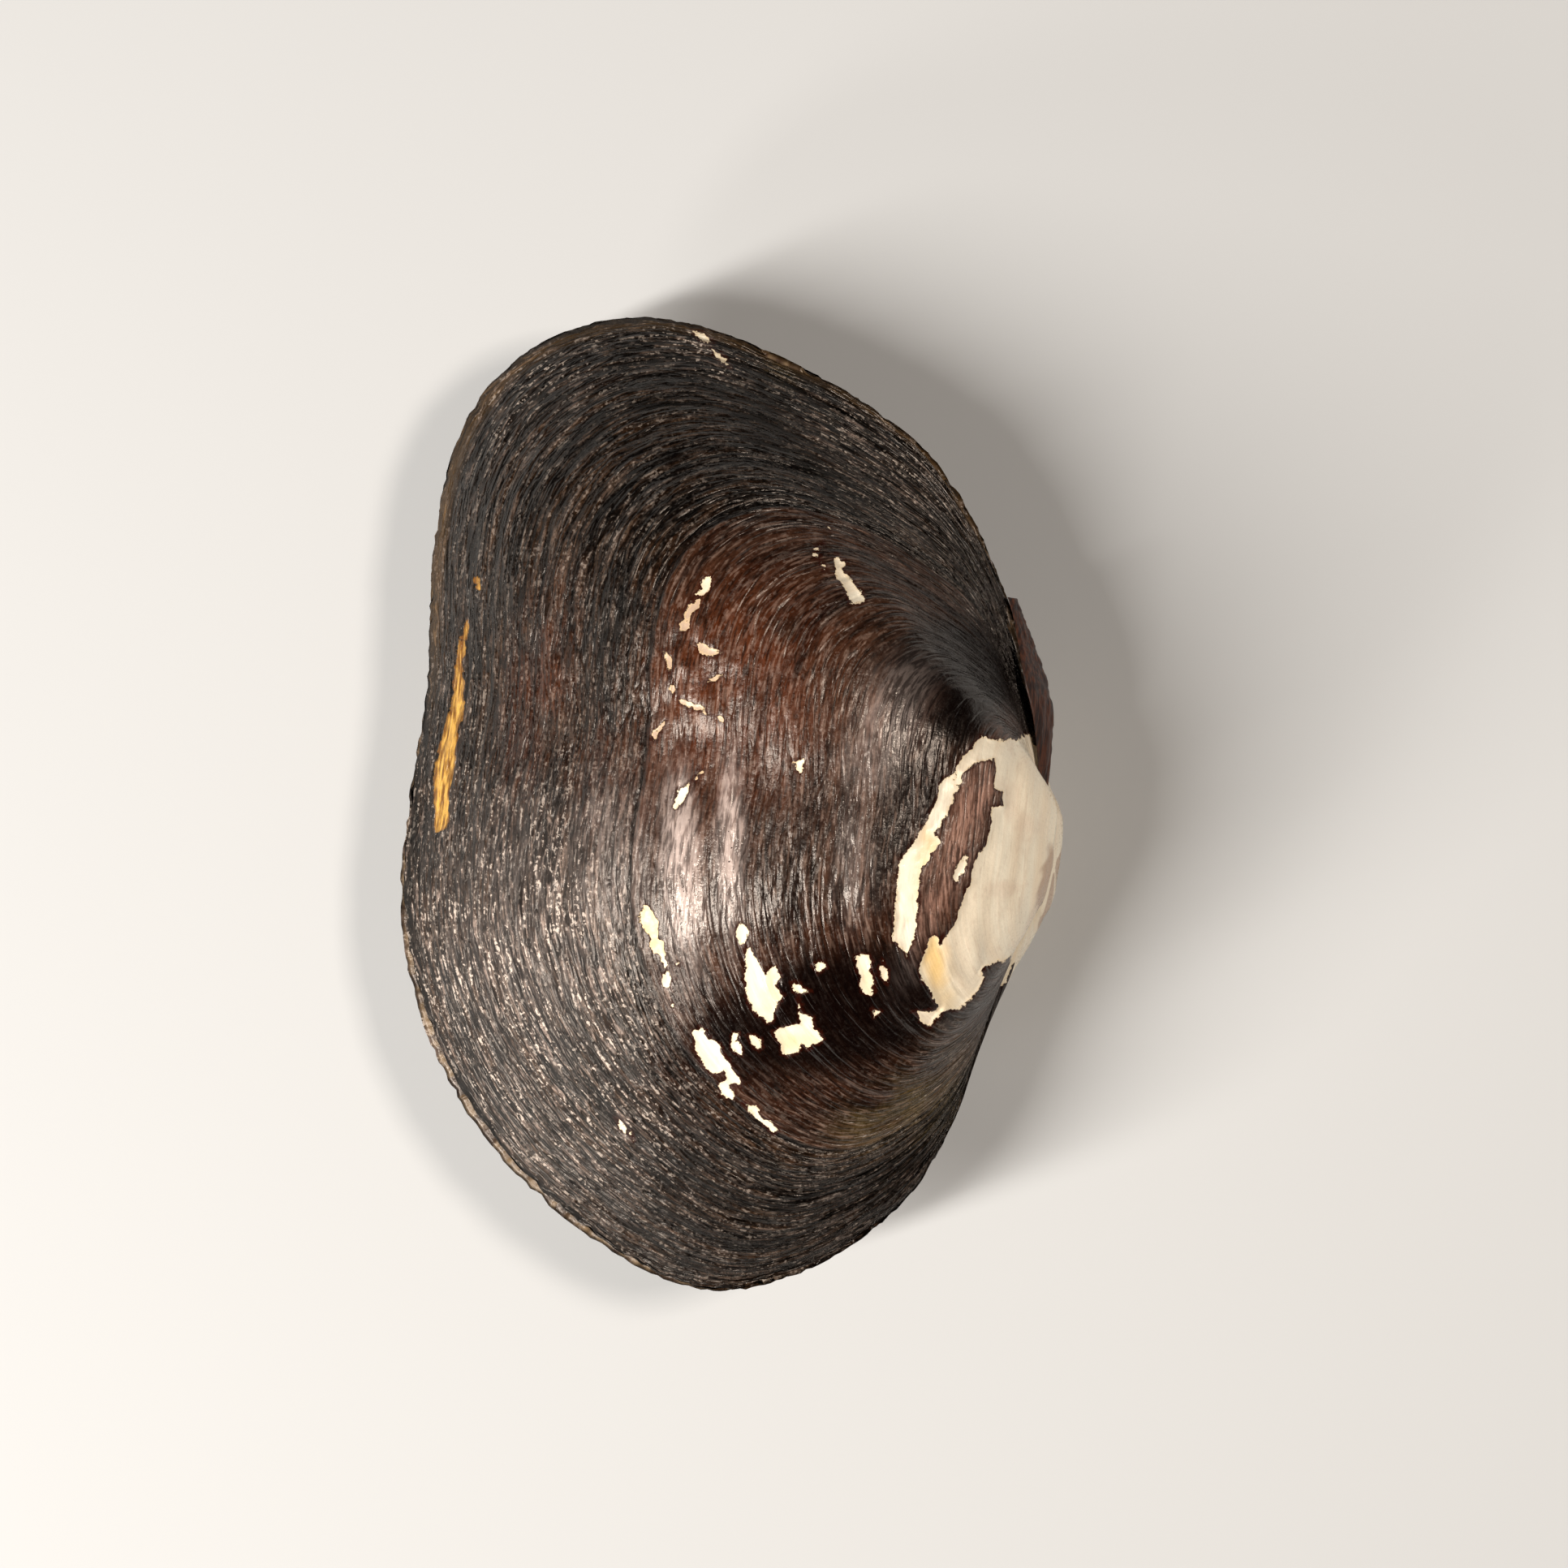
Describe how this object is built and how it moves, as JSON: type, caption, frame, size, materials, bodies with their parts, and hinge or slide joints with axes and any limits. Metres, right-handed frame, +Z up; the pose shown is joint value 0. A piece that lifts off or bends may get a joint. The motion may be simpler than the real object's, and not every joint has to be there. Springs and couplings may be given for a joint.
{
  "type": "freshwater mussel shell",
  "caption": "Closed freshwater mussel shell lying on its side: two hollow halves with worn pale beaks, joined along the hinge by a horny strap.",
  "frame": {"origin": "on the surface it rests on, under the middle of the shell's overall box", "axes": "+Y towards the shell's rear end, +X towards the hinge side, +Z up out of the right half"},
  "size_m": [0.0518, 0.0756, 0.0285],
  "materials": {
    "upper_skin": "brown-black skin in fine growth lines, silky, worn to cream shell at the beak",
    "lower_skin": "brown-black skin in fine growth lines, silky, worn to cream shell at the beak",
    "horn": "dark reddish-brown horn, smooth and satin"
  },
  "bodies": {
    "root": {"right_valve": "upper_skin", "left_valve": "lower_skin", "ligament": "horn"}
  },
  "joints": []
}
